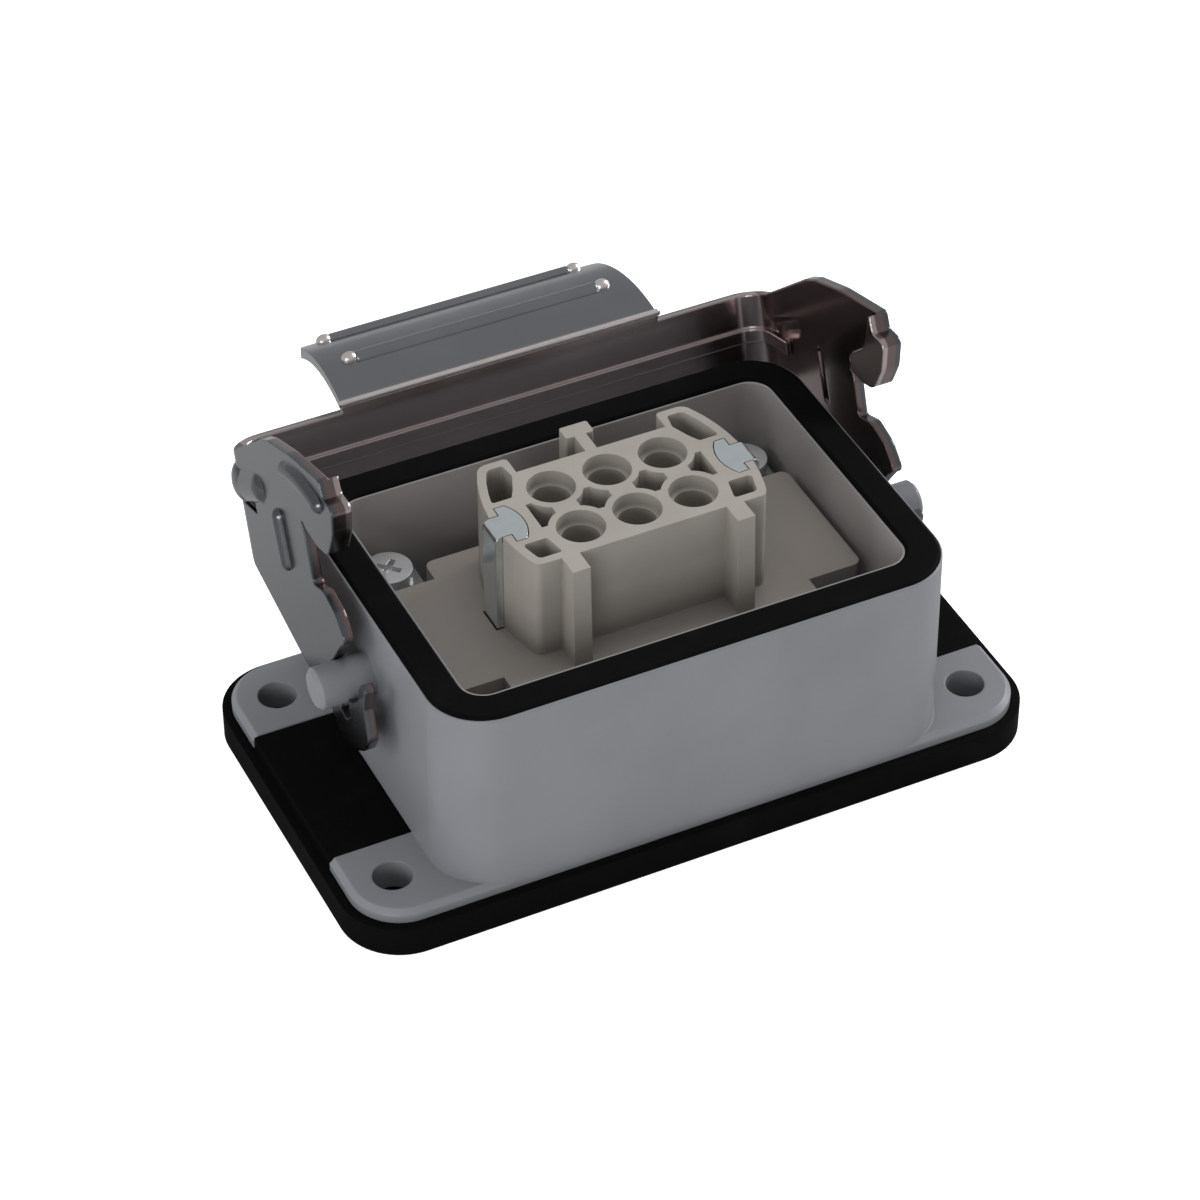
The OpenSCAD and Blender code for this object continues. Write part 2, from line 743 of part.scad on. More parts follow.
// Pressed bead round the inner side of the web, and its groove outside
module web_bead(outer_inset, inner_inset) {
    lean() intersection() {
        translate([0, 0, web_bead_h]) channel_band(outer_inset, inner_inset, web_bead_w);
        translate([-lever_span / 2, web_bead_end, 0]) cube([lever_span, lever_span, lever_span]);
    }
}

module tongue_profile() {
    difference() {
        intersection() {
            translate(tongue_c) circle(tongue_r, $fn = 128);
            polygon([tongue_c, tongue_c + 40 * [sin(-22), cos(-22)], tongue_c + 40 * [sin(tongue_end), cos(tongue_end)]]);
        }
        translate(tongue_c) circle(tongue_r - sheet_t, $fn = 128);
        // Inner side of the web
        rotate(-web_lean) translate([-lever_span, -lever_span / 2]) square([lever_span + web_reach - sheet_t, lever_span]);
    }
}

module tongue_plan() {
    back = tongue_c.x + tongue_r * sin(tongue_end) + 1;
    front = web_reach - 3;
    polygon(rounded([[-tongue_root, front, 0], [tongue_root, front, 0], [tongue_tip, back - 1, tip_corner_r],
                     [-tongue_tip, back - 1, tip_corner_r]]));
}

module on_arch(y) {
    translate([0, tongue_c.x, tongue_c.y]) rotate([-asin((y - tongue_c.x) / tongue_r), 0, 0])
        translate([0, 0, tongue_r]) children();
}

module tongue() {
    intersection() {
        along_x(2 * tongue_root + 2) tongue_profile();
        translate([0, 0, -lever_span / 2]) linear_extrude(lever_span) tongue_plan();
    }
    for (y = finger_rib_y) on_arch(y) finger_rib();
}

// Round bar with tapered ends, sunk in the tongue's upper face
module finger_rib() {
    l = tongue_tip - 3;
    both_ends() translate([0, 0, -finger_rib_r / 5]) rotate([0, 90, 0]) {
        cylinder(l - finger_rib_r, r = finger_rib_r);
        translate([0, 0, l - finger_rib_r]) cylinder(finger_rib_r, finger_rib_r, finger_rib_r / 4);
    }
}

module locking_lever() color("silver") translate([0, 0, peg_z]) {
    difference() {
        union() {
            channel();
            tongue();
            noses();
            both_ends() translate([arm_out, 0, 0]) rotate([90, 0, 90]) arm_beads(1, 0.8);
            web_bead(sheet_t - eps, sheet_t + web_bead_t);
        }
        both_ends() translate([arm_in, 0, 0]) rotate([90, 0, 90]) arm_beads(0.7, 0.5);
        web_bead(-eps, web_bead_t);
    }
}

housing();
base_gasket();
rim_gasket();
locking_lever();
insert_body();
earth_bracket_left();
earth_bracket_right();
earth_screws();
fixing_screws();
terminal_screws();
for (i = [0:5]) {
    socket_contact(contacts[i]);
    wire_guard(contacts[i]);
}
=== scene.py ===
"""Finishes, pressed forms, light and camera for a panel-mount connector with a locking lever."""

from __future__ import annotations

import logging
import math
from dataclasses import dataclass, field
from enum import Enum

import bpy
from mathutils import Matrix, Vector


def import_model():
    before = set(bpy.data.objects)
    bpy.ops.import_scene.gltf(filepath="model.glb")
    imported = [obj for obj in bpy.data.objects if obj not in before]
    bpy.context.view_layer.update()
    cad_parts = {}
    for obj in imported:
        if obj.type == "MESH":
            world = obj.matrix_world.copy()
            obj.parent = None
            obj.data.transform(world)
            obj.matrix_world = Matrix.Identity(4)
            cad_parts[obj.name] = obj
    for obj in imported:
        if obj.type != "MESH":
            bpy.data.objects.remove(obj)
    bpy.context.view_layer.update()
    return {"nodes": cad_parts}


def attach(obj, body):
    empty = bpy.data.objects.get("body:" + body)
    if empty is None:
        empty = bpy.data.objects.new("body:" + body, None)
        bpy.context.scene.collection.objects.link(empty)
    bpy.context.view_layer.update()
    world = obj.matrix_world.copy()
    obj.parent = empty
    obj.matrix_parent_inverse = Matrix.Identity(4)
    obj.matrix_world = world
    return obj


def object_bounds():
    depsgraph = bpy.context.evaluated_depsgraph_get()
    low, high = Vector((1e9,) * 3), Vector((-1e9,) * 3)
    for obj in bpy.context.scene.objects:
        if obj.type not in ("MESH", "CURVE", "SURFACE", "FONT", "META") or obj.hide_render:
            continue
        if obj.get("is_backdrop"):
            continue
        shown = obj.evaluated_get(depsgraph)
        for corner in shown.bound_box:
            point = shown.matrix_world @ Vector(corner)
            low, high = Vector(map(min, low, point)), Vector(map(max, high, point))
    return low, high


LOG = logging.getLogger("connector")
MM = 0.001
EDGE_SAMPLES = 6
SHAFT_SOFT_M = 0.0001
SPHERE_SEGMENTS = 40
SPHERE_RINGS = 20
BEND_STEPS = 12
CUT_MERGE_M = 1e-7
SEAM_MERGE_M = 2e-6
SMOOTH_DEGREES = 50

Triple = tuple[float, float, float]
Colour = Triple


class Body(str, Enum):
    """The two rigid bodies of the model."""

    BASE = "base"
    LEVER = "lever"


# ---------------------------------------------------------------- shader tools


class Value:
    """A shader value whose arithmetic adds Math nodes."""

    def __init__(self, graph: "Graph", socket: bpy.types.NodeSocket) -> None:
        """Wrap one output socket of a graph."""
        self.graph = graph
        self.socket = socket

    def _math(self, operation: str, a: "Value | float", b: "Value | float" = 0.0) -> "Value":
        """Add one Math node and wrap its result."""
        node = self.graph.node("ShaderNodeMath", {"operation": operation}, {0: a, 1: b})
        return node.value("Value")

    def __add__(self, other: "Value | float") -> "Value":
        """Sum with a value or a number."""
        return self._math("ADD", self, other)

    __radd__ = __add__

    def __mul__(self, other: "Value | float") -> "Value":
        """Product with a value or a number."""
        return self._math("MULTIPLY", self, other)

    __rmul__ = __mul__

    def __sub__(self, other: "Value | float") -> "Value":
        """Difference, self less other."""
        return self._math("SUBTRACT", self, other)

    def __rsub__(self, other: "Value | float") -> "Value":
        """Difference, other less self."""
        return self._math("SUBTRACT", other, self)

    def above(self, low: float, high: float) -> "Value":
        """Smooth step from 0 at low to 1 at high."""
        smooth = {"interpolation_type": "SMOOTHSTEP"}
        links = {"Value": self, "From Min": low, "From Max": high}
        return self.graph.node("ShaderNodeMapRange", smooth, links).value("Result")


class Node:
    """One node of a graph."""

    def __init__(self, graph: "Graph", node: bpy.types.Node) -> None:
        """Keep the node and its graph."""
        self.graph = graph
        self.node = node

    def value(self, output: str | int) -> Value:
        """Wrap one of the node's outputs."""
        return Value(self.graph, self.node.outputs[output])


class Graph:
    """The node tree of one material, with its Principled shader."""

    def __init__(self, name: str) -> None:
        """Start a material.

        Args:
            name: the material's name.
        """
        self.material = bpy.data.materials.new(name)
        self.material.use_nodes = True
        self.tree = self.material.node_tree
        self.shader = self.tree.nodes["Principled BSDF"]

    def node(self, kind: str, settings: dict[str, object], links: dict[str | int, object]) -> Node:
        """Add a node, set it up and connect it.

        Args:
            kind: the node's type.
            settings: attributes that are set before anything is connected.
            links: a value, number or colour for each named or numbered input.

        Returns:
            The new node.
        """
        node = self.tree.nodes.new(kind)
        for key, setting in settings.items():
            setattr(node, key, setting)
        for key, source in links.items():
            self._feed(node.inputs[key], source)
        return Node(self, node)

    def _feed(self, socket: bpy.types.NodeSocket, source: object) -> None:
        """Link a value to a socket, or set the socket's own number or colour."""
        if isinstance(source, Value):
            self.tree.links.new(source.socket, socket)
        elif isinstance(source, tuple) and len(source) == 3 and len(socket.default_value) == 4:
            socket.default_value = (*source, 1.0)
        else:
            socket.default_value = source

    def feed(self, **sources: object) -> None:
        """Set or link inputs of the Principled shader; underscores in names stand for spaces."""
        for key, source in sources.items():
            self._feed(self.shader.inputs[key.replace("_", " ")], source)

    def place(self) -> Value:
        """Object coordinates, in metres."""
        return self.node("ShaderNodeTexCoord", {}, {}).value("Object")

    def axes(self) -> tuple[Value, Value, Value]:
        """Object coordinates along X, Y and Z, in metres."""
        split = self.node("ShaderNodeSeparateXYZ", {}, {0: self.place()})
        return split.value("X"), split.value("Y"), split.value("Z")

    def stretched(self, scale: Triple) -> Value:
        """Object coordinates, scaled apart along the axes."""
        links = {"Vector": self.place(), "Scale": scale}
        return self.node("ShaderNodeMapping", {}, links).value("Vector")

    def noise(self, grain_mm: float, detail: float = 3.0, vector: Value | None = None) -> Value:
        """Noise between 0 and 1.

        Args:
            grain_mm: size of one grain in millimetres.
            detail: octaves of finer grain.
            vector: the coordinates to read, or the object's own.

        Returns:
            The noise value.
        """
        links = {"Vector": vector or self.place(), "Scale": 1.0 / (grain_mm * MM), "Detail": detail}
        return self.node("ShaderNodeTexNoise", {}, links).value("Fac")

    def mixed(self, mask: Value | float, low: object, high: object) -> Value:
        """Colour between low and high by a mask."""
        mix = self.node("ShaderNodeMix", {"data_type": "RGBA"}, {0: mask, 6: low, 7: high})
        return mix.value(2)

    def within(self, box: Triple) -> Value:
        """Mask of an upright shaft about the Z axis.

        Args:
            box: half length, half width and foot height of the shaft, in metres.

        Returns:
            1 inside the shaft and 0 outside it.
        """
        x, y, z = self.axes()
        soft = SHAFT_SOFT_M
        along = 1.0 - (x * x).above(box[0] ** 2, (box[0] + soft) ** 2)
        across = 1.0 - (y * y).above(box[1] ** 2, (box[1] + soft) ** 2)
        return along * across * z.above(box[2], box[2] + soft)

    def bump(self, height: Value, depth_mm: float, edge_mm: float) -> Value:
        """Normal of a fine relief over softened edges.

        Args:
            height: the relief, between 0 and 1.
            depth_mm: its depth in millimetres.
            edge_mm: radius to which sharp edges look rounded.

        Returns:
            The normal.
        """
        radius = {"Radius": edge_mm * MM}
        edge = self.node("ShaderNodeBevel", {"samples": EDGE_SAMPLES}, radius).value("Normal")
        links = {"Height": height, "Distance": depth_mm * MM, "Strength": 1.0, "Normal": edge}
        return self.node("ShaderNodeBump", {}, links).value("Normal")


# ---------------------------------------------------------------- finishes


@dataclass(frozen=True)
class PowderCoat:
    """Satin grey powder coat over a die casting, with an orange-peel skin and painted bounce light
    inside its cavity.
    """

    colour: Colour = (0.143, 0.149, 0.160)
    pale: Colour = (0.160, 0.166, 0.178)
    # painted bounce light: a lighter, warmer colour for the walls inside the cavity, standing in
    # for light thrown back from the insert
    inside: Colour = (0.25, 0.232, 0.226)
    painted_light_cavity: Triple = (0.0261, 0.0177, 0.0055)
    peel_mm: float = 0.9
    fine_peel_mm: float = 0.25
    peel_depth_mm: float = 0.018
    cloud_mm: float = 14.0
    speck_mm: float = 0.22
    edge_mm: float = 0.3
    roughness: float = 0.40

    def build(self) -> bpy.types.Material:
        """Build the material."""
        graph = Graph("powder_coat")
        peel = graph.noise(self.peel_mm, 2.0)
        cloud = graph.noise(self.cloud_mm)
        speck = graph.noise(self.speck_mm, 1.0).above(0.62, 0.75)
        colour = graph.mixed(cloud.above(0.3, 0.75), self.colour, self.pale)
        # painted bounce light: walls inside the cavity take the lighter, warmer inside colour
        colour = graph.mixed(graph.within(self.painted_light_cavity), colour, self.inside)
        skin = peel + graph.noise(self.fine_peel_mm, 1.0) * 0.35
        graph.feed(
            Base_Color=graph.mixed(speck * 0.35, colour, self.pale),
            Roughness=cloud * 0.10 + (self.roughness - 0.05),
            Normal=graph.bump(skin, self.peel_depth_mm, self.edge_mm),
        )
        return graph.material


@dataclass(frozen=True)
class MouldedRubber:
    """Black elastomer with a fine moulded grain and a little dust."""

    name: str = "seal_rubber"
    colour: Colour = (0.0016, 0.0017, 0.0018)
    dust: Colour = (0.0045, 0.0045, 0.0045)
    roughness: float = 0.78
    sheen: float = 0.06
    grain_mm: float = 0.35
    grain_depth_mm: float = 0.012
    dust_mm: float = 6.0
    edge_mm: float = 0.3

    def build(self) -> bpy.types.Material:
        """Build the material."""
        graph = Graph(self.name)
        grain = graph.noise(self.grain_mm, 2.0)
        dust = graph.noise(self.dust_mm, 4.0).above(0.5, 0.8)
        graph.feed(
            Base_Color=graph.mixed(dust * 0.5, self.colour, self.dust),
            Roughness=grain * 0.12 + (self.roughness - 0.06),
            Specular_IOR_Level=self.sheen,
            Normal=graph.bump(grain, self.grain_depth_mm, self.edge_mm),
        )
        return graph.material


@dataclass(frozen=True)
class StainlessSheet:
    """Rolled and tumbled stainless sheet with faint scratches along the rolling direction, and
    painted light and shade that differ by side.
    """

    name: str = "stainless"
    colour: Colour = (0.27, 0.275, 0.29)
    # painted reflection: a lighter, warmer colour for the web's inner side
    inside: Colour = (0.54, 0.465, 0.46)
    # painted shade: darker colours for the arms' inner and outer faces
    arm_inner_painted_shade: Colour = (0.22, 0.165, 0.16)
    arm_outer_painted_shade: Colour = (0.140, 0.147, 0.158)
    roughness: float = 0.2
    arm_x: float = 0.03305
    arm_inner_x: float = 0.0321
    web_y: float = 0.0268
    web_lean: float = 17.2
    pivot_z: float = 0.0196
    side_soft: float = 0.0002
    scratch_mm: float = 0.5
    scratch_stretch: Triple = (0.04, 1.0, 1.0)
    cloud_mm: float = 9.0
    cloud_lift: float = 1.14
    edge_mm: float = 0.35

    def build(self) -> bpy.types.Material:
        """Build the material."""
        graph = Graph(self.name)
        rolled = graph.noise(self.scratch_mm, 2.0, graph.stretched(self.scratch_stretch))
        cloud = graph.noise(self.cloud_mm)
        lifted = tuple(c * self.cloud_lift for c in self.colour)
        stain = graph.mixed(cloud.above(0.35, 0.8), self.colour, lifted)
        graph.feed(
            # base colour carries painted reflection and painted shade by side of the sheet
            Base_Color=self.side_painted_light(graph, stain),
            Metallic=1.0,
            Roughness=rolled * 0.08 + cloud * 0.08 + (self.roughness - 0.08),
            Normal=graph.bump(rolled, 0.002, self.edge_mm),
        )
        return graph.material

    def side_painted_light(self, graph: Graph, stain: Value) -> Value:
        """Colour of the sheet with painted light by side: a lighter, warmer painted reflection on
        the web's inner side, and darker painted shade on the arms' inner and outer faces.

        Args:
            graph: the material's graph.
            stain: colour of the open faces.

        Returns:
            The colour.
        """
        x, y, z = graph.axes()
        lean = math.radians(self.web_lean)
        depth = y * math.cos(lean) - (z - self.pivot_z) * math.sin(lean)
        soft = self.side_soft
        front = 1.0 - depth.above(self.web_y - soft, self.web_y + soft)
        outer = (x * x).above((self.arm_x - soft) ** 2, (self.arm_x + soft) ** 2)
        arm = (x * x).above((self.arm_inner_x - soft) ** 2, self.arm_inner_x**2)
        colour = graph.mixed(front, stain, self.inside)
        colour = graph.mixed(arm * front, colour, self.arm_inner_painted_shade)
        return graph.mixed(outer, colour, self.arm_outer_painted_shade)


@dataclass(frozen=True)
class InsertPlastic:
    """Warm grey glass-filled thermoplastic with a dry, slightly mottled skin and painted shade low
    in the housing.
    """

    colour: Colour = (0.265, 0.247, 0.222)
    deep: Colour = (0.22, 0.202, 0.18)
    roughness: float = 0.52
    # painted shade: the insert turns darker towards its foot, deep inside the housing
    foot: Colour = (0.185, 0.168, 0.152)
    painted_shade_top_z: float = 0.02150
    painted_shade_fade_mm: float = 3.0
    cloud_mm: float = 7.0
    fibre_mm: float = 0.4
    edge_mm: float = 0.14

    def build(self) -> bpy.types.Material:
        """Build the material."""
        graph = Graph("insert_plastic")
        fibre = graph.noise(self.fibre_mm)
        cloud = graph.noise(self.cloud_mm)
        _, _, height = graph.axes()
        # painted shade: the darker foot colour fades in below this height
        raised = height.above(self.painted_shade_top_z + 0.2 * MM, self.painted_shade_top_z + self.painted_shade_fade_mm * MM)
        mottled = graph.mixed(cloud.above(0.3, 0.7) * 0.5 + fibre * 0.25, self.colour, self.deep)
        graph.feed(
            Base_Color=graph.mixed(raised, self.foot, mottled),
            Roughness=fibre * 0.12 + (self.roughness - 0.06),
            Normal=graph.bump(fibre, 0.006, self.edge_mm),
        )
        return graph.material


@dataclass(frozen=True)
class PlatedMetal:
    """Plated sheet or turned metal: a clear colour with soft handling marks."""

    name: str
    colour: Colour
    roughness: float = 0.28
    grain_mm: float = 0.3
    metallic: float = 1.0
    haze_mm: float = 3.0
    haze_dim: float = 0.82
    edge_mm: float = 0.12

    def build(self) -> bpy.types.Material:
        """Build the material."""
        graph = Graph(self.name)
        grain = graph.noise(self.grain_mm)
        haze = graph.noise(self.haze_mm)
        dimmed = tuple(c * self.haze_dim for c in self.colour)
        graph.feed(
            Base_Color=graph.mixed(haze.above(0.4, 0.7) * 0.6, self.colour, dimmed),
            Metallic=self.metallic,
            Roughness=haze * 0.14 + (self.roughness - 0.07),
            Normal=graph.bump(grain, 0.003, self.edge_mm),
        )
        return graph.material


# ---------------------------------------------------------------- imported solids


@dataclass
class DressedSolids:
    """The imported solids, each with the finish of its kind."""

    nodes: dict[str, bpy.types.Object]

    def dress(self, name: str, material: bpy.types.Material) -> None:
        """Give one solid its finish.

        Args:
            name: the solid's node.
            material: its finish.
        """
        solid = self.nodes[name]
        solid.data.materials.clear()
        solid.data.materials.append(material)
        LOG.info("dressed %s", name)

    def dress_all(self) -> bpy.types.Material:
        """Give every solid the finish of its kind and return the lever's."""
        rubber = MouldedRubber().build()
        plated = PlatedMetal("bracket_metal", (0.80, 0.86, 0.88), 0.24).build()
        steel = PlatedMetal("screw_metal", (0.60, 0.61, 0.62), 0.34, metallic=0.6).build()
        alloy = PlatedMetal("contact_metal", (0.55, 0.50, 0.38), 0.35).build()
        stainless = StainlessSheet().build()
        kinds = {
            "housing": PowderCoat().build(),
            "base_gasket": rubber,
            "rim_gasket": rubber,
            "locking_lever": stainless,
            "insert_body": InsertPlastic().build(),
            "earth_bracket": plated,
            "wire_guard": plated,
            "socket_contact": alloy,
            "screws": steel,
        }
        for name in self.nodes:
            for kind, material in kinds.items():
                if kind in name:
                    self.dress(name, material)
        return stainless


# ---------------------------------------------------------------- pressed forms of the lever


@dataclass(frozen=True)
class LeverSheet:
    """Sizes of the lever's bent sheet, in millimetres, seen from its pivot axis."""

    pivot_z: float = 19.6
    lean: float = 17.2
    arm_out: float = 33.65
    web_reach: float = 27.4
    bend_r: float = 4.2
    thickness: float = 1.2
    arch_y: float = 35.9
    arch_z: float = -5.25
    arch_r: float = 17.0
    ribs_y: tuple[float, float] = (37.6, 45.2)
    rib_half: float = 15.8


class PressedForm:
    """A rounded ridge or button that is raised out of the lever's sheet."""

    def __init__(self, name: str, centre: Triple, radii: Triple) -> None:
        """Start from a rounded button.

        Args:
            name: the piece's name.
            centre: the button's middle in millimetres.
            radii: its half sizes along X, Y and Z in millimetres.
        """
        if bpy.context.object and bpy.context.object.mode != "OBJECT":
            bpy.ops.object.mode_set(mode="OBJECT")
        bpy.ops.object.select_all(action="DESELECT")
        place = tuple(c * MM for c in centre)
        bpy.ops.mesh.primitive_uv_sphere_add(
            segments=SPHERE_SEGMENTS, ring_count=SPHERE_RINGS, radius=MM, location=place
        )
        self.piece = bpy.context.object
        self.piece.name = name
        self.piece.scale = radii
        bpy.ops.object.transform_apply(location=True, rotation=True, scale=True)

    def cut(self, place: Triple, normal: Triple) -> None:
        """Cut away what lies beyond a plane and keep the open edge selected.

        Args:
            place: a point of the plane in millimetres.
            normal: the side that is cut away.
        """
        bpy.ops.object.mode_set(mode="EDIT")
        bpy.ops.mesh.select_all(action="SELECT")
        point = tuple(c * MM for c in place)
        bpy.ops.mesh.bisect(
            plane_co=point, plane_no=normal, clear_outer=True, threshold=CUT_MERGE_M
        )

    def run(self, step: Triple) -> None:
        """Draw the open edge straight along a step in millimetres."""
        move = {"value": tuple(c * MM for c in step)}
        bpy.ops.mesh.extrude_edges_move(TRANSFORM_OT_translate=move)

    def turn(self, centre: Triple, degrees: float) -> None:
        """Draw the open edge round an upright axis.

        Args:
            centre: a point of the axis in millimetres.
            degrees: the angle of the bend.
        """
        axis = tuple(c * MM for c in centre)
        bpy.ops.mesh.spin(
            steps=BEND_STEPS, angle=math.radians(degrees), center=axis, axis=(0.0, 0.0, 1.0)
        )

    def finish(
        self, material: bpy.types.Material, mirrored: bool, lean: float, lift: float
    ) -> None:
        """Close the form, lean it with the web and let it ride on the lever.

        Args:
            material: its finish.
            mirrored: whether the other half is the mirror image across the middle.
            lean: angle about the pivot axis, in degrees.
            lift: height of the pivot axis, in millimetres.
        """
        bpy.ops.object.mode_set(mode="OBJECT")
        piece = self.piece
        if mirrored:
            mirror = piece.modifiers.new("other_half", "MIRROR")
            mirror.use_clip = True
            mirror.merge_threshold = SEAM_MERGE_M
            bpy.ops.object.modifier_apply(modifier=mirror.name)
        piece.rotation_euler = (-math.radians(lean), 0.0, 0.0)
        piece.location = (0.0, 0.0, lift * MM)
        bpy.ops.object.transform_apply(location=True, rotation=True, scale=True)
        bpy.ops.object.mode_set(mode="EDIT")
        bpy.ops.mesh.select_all(action="SELECT")
        bpy.ops.mesh.remove_doubles(threshold=SEAM_MERGE_M)
        bpy.ops.mesh.normals_make_consistent(inside=False)
        bpy.ops.object.mode_set(mode="OBJECT")
        bpy.ops.object.shade_smooth_by_angle(angle=math.radians(SMOOTH_DEGREES))
        piece.data.materials.append(material)
        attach(piece, Body.LEVER.value)
        LOG.info("pressed %s", piece.name)


@dataclass
class LeverForms:
    """The lever's pressed forms: bend bead, a painted highlight strip along the crease and the
    round ends of the finger ribs.
    """

    sheet: LeverSheet
    bead_height: float = 15.3
    bead_half: float = 1.8
    bead_proud: float = 0.8
    bead_start: float = 22.6
    strip_half: float = 19.6
    strip_height: float = 0.45
    strip_proud: float = 0.28
    strip_z: float = 19.75
    knob: Triple = (1.0, 0.8, 0.85)
    knob_foot: float = 0.4

    def bend_bead(self, material: bpy.types.Material) -> None:
        """Press the bead that runs over the web and round both bends."""
        lever = self.sheet
        start = (-lever.arm_out, self.bead_start, self.bead_height)
        arc = (-lever.arm_out + lever.bend_r, lever.web_reach - lever.bend_r, 0.0)
        form = PressedForm("bend_bead", start, (self.bead_proud, self.bead_half, self.bead_half))
        form.cut(start, (0.0, 1.0, 0.0))
        form.run((0.0, arc[1] - self.bead_start, 0.0))
        form.turn(arc, 90.0)
        form.run((-arc[0], 0.0, 0.0))
        form.finish(material, True, lever.lean, lever.pivot_z)

    def bend_highlight_strip(self, material: bpy.types.Material) -> None:
        """Raise a painted highlight along the bend between web and tongue, on the inner side: a
        thin bright strip where the bend catches light.
        """
        lever = self.sheet
        start = (-self.strip_half, lever.web_reach - lever.thickness, self.strip_z)
        radii = (self.strip_height, self.strip_proud, self.strip_height)
        form = PressedForm("bend_highlight_strip", start, radii)
        form.cut(start, (1.0, 0.0, 0.0))
        form.run((self.strip_half, 0.0, 0.0))
        form.finish(material, True, lever.lean, lever.pivot_z)

    def rib_knobs(self, material: bpy.types.Material) -> None:
        """Round off both ends of the finger ribs, in the bright metal that paints their glints."""
        lever = self.sheet
        for row, rib_y in enumerate(lever.ribs_y):
            tilt = math.asin((rib_y - lever.arch_y) / lever.arch_r)
            rise = lever.arch_z + lever.arch_r * math.cos(tilt)
            for side, name in ((-1, "left"), (1, "right")):
                centre = (side * lever.rib_half, rib_y, rise)
                form = PressedForm(f"rib_knob_{row}_{name}", centre, self.knob)
                down = (0.0, -math.sin(tilt), -math.cos(tilt))
                foot = tuple(c + self.knob_foot * d for c, d in zip(centre, down))
                form.cut(foot, down)
                bpy.ops.mesh.edge_face_add()
                form.finish(material, False, 0.0, lever.pivot_z)

    def build(self, material: bpy.types.Material) -> None:
        """Press every form."""
        # painted highlight: bright pale metal for the crease strip and the rib ends
        painted_highlight = PlatedMetal("painted_highlight_stainless", (0.86, 0.80, 0.78), 0.3).build()
        self.bend_bead(material)
        self.bend_highlight_strip(painted_highlight)
        self.rib_knobs(painted_highlight)


# ---------------------------------------------------------------- studio


@dataclass(frozen=True)
class Lamp:
    """A square soft lamp: its place and side in metres, its power and whether metal shows it."""

    name: str
    place: Triple
    size: float
    watts: float
    mirrored: bool


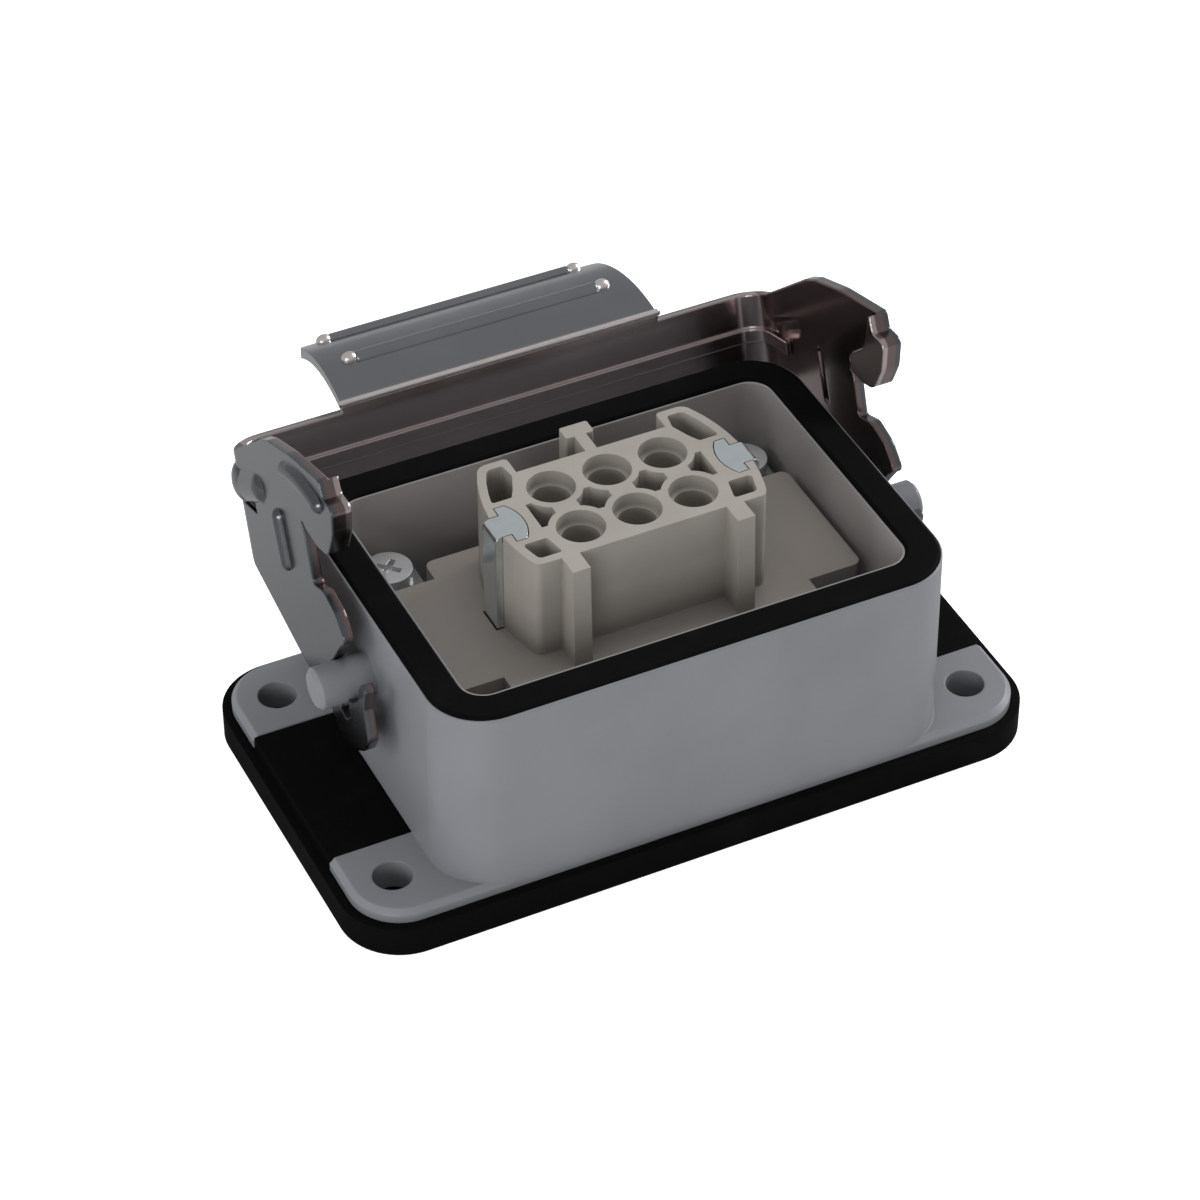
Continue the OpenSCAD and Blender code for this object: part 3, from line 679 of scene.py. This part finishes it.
@dataclass
class Studio:
    """Pale floor, soft lamps and the camera."""

    floor_size: float = 6.0
    azimuth: float = -25.852
    elevation: float = 40.644
    distance: float = 0.4695
    target: Vector = field(default_factory=lambda: Vector((1.9, 9.4, 10.5)) * MM)
    lens: float = 124.85
    roll: float = -0.093
    sky: Colour = (0.98, 0.99, 1.0)
    floor_lift: Colour = (0.4, 0.4, 0.4)
    sky_strength: float = 0.72
    sheen_strength: float = 0.42
    aim_height: float = 0.015
    floor_white: Colour = (0.97, 0.97, 0.97)
    floor_in_metal: Colour = (0.4, 0.4, 0.4)
    clip_start: float = 0.01
    lamps: tuple[Lamp, ...] = (
        Lamp("key_right", (1.0, 0.1, 0.5), 0.5, 9.0, True),
        Lamp("front_left", (-0.75, -0.8, 0.35), 0.5, 4.5, True),
        Lamp("side_left", (-1.0, 0.1, 0.4), 0.5, 3.5, False),
        Lamp("top", (0.1, 0.3, 1.2), 0.9, 5.0, False),
    )

    def floor(self) -> None:
        """Lay the floor that the model stands on."""
        low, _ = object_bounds()
        bpy.ops.mesh.primitive_plane_add(size=self.floor_size, location=(0.0, 0.0, low[2]))
        floor = bpy.context.object
        floor.name = "floor"
        graph = Graph("floor")
        ray = graph.node("ShaderNodeLightPath", {}, {})
        black = (0.0, 0.0, 0.0)
        seen = ray.value("Is Glossy Ray")
        graph.feed(
            Base_Color=graph.mixed(seen, self.floor_white, self.floor_in_metal),
            Roughness=0.9,
            Emission_Color=graph.mixed(ray.value("Is Camera Ray"), black, self.floor_lift),
            Emission_Strength=1.0,
        )
        graph.shader.inputs["Specular IOR Level"].default_value = 0.0
        floor.data.materials.append(graph.material)
        floor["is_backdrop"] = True

    def hang(self, lamp: Lamp, aim: Vector) -> None:
        """Hang one lamp.

        Args:
            lamp: the lamp.
            aim: the point it faces.
        """
        data = bpy.data.lights.new(lamp.name, "AREA")
        data.size = lamp.size
        data.energy = lamp.watts
        hung = bpy.data.objects.new(lamp.name, data)
        hung.location = lamp.place
        hung.rotation_euler = (aim - Vector(lamp.place)).to_track_quat("-Z", "Y").to_euler()
        hung.visible_glossy = lamp.mirrored
        bpy.context.scene.collection.objects.link(hung)

    def lights(self) -> None:
        """Hang the lamps and set the sky."""
        aim = Vector((0.0, 0.0, self.aim_height))
        for lamp in self.lamps:
            self.hang(lamp, aim)
        world = bpy.data.worlds.new("sky")
        world.use_nodes = True
        tree = world.node_tree
        seen = tree.nodes["Background"]
        lighting = tree.nodes.new("ShaderNodeBackground")
        ray = tree.nodes.new("ShaderNodeLightPath")
        mix = tree.nodes.new("ShaderNodeMixShader")
        lighting.inputs["Color"].default_value = (*self.sky, 1.0)
        lighting.inputs["Strength"].default_value = self.sky_strength
        seen.inputs["Color"].default_value = (1.0, 1.0, 1.0, 1.0)
        sheen = tree.nodes.new("ShaderNodeBackground")
        soften = tree.nodes.new("ShaderNodeMixShader")
        sheen.inputs["Color"].default_value = (*self.sky, 1.0)
        sheen.inputs["Strength"].default_value = self.sheen_strength
        tree.links.new(ray.outputs["Is Glossy Ray"], soften.inputs["Fac"])
        tree.links.new(lighting.outputs["Background"], soften.inputs[1])
        tree.links.new(sheen.outputs["Background"], soften.inputs[2])
        tree.links.new(ray.outputs["Is Camera Ray"], mix.inputs["Fac"])
        tree.links.new(soften.outputs["Shader"], mix.inputs[1])
        tree.links.new(seen.outputs["Background"], mix.inputs[2])
        tree.links.new(mix.outputs["Shader"], tree.nodes["World Output"].inputs["Surface"])
        bpy.context.scene.world = world

    def camera(self) -> None:
        """Place the camera on its bearing."""
        turn, tilt = math.radians(self.azimuth), math.radians(self.elevation)
        level = math.cos(tilt)
        back = Vector((math.sin(turn) * level, -math.cos(turn) * level, math.sin(tilt)))
        data = bpy.data.cameras.new("camera")
        data.lens = self.lens
        data.clip_start = self.clip_start
        camera = bpy.data.objects.new("camera", data)
        camera.location = self.target + back * self.distance
        camera.rotation_euler = (math.pi / 2 - tilt, 0.0, turn)
        camera.rotation_euler.rotate_axis("Z", math.radians(self.roll))
        bpy.context.scene.collection.objects.link(camera)
        bpy.context.scene.camera = camera

    def build(self) -> None:
        """Set up floor, lamps and camera."""
        self.camera()
        self.floor()
        self.lights()
        bpy.context.scene.view_settings.view_transform = "Standard"


def main() -> None:
    """Build the scene in order."""
    logging.basicConfig(level=logging.INFO, format="%(message)s")
    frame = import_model()
    Studio().build()
    stainless = DressedSolids(frame["nodes"]).dress_all()
    LeverForms(LeverSheet()).build(stainless)


if __name__ == "__main__":
    main()
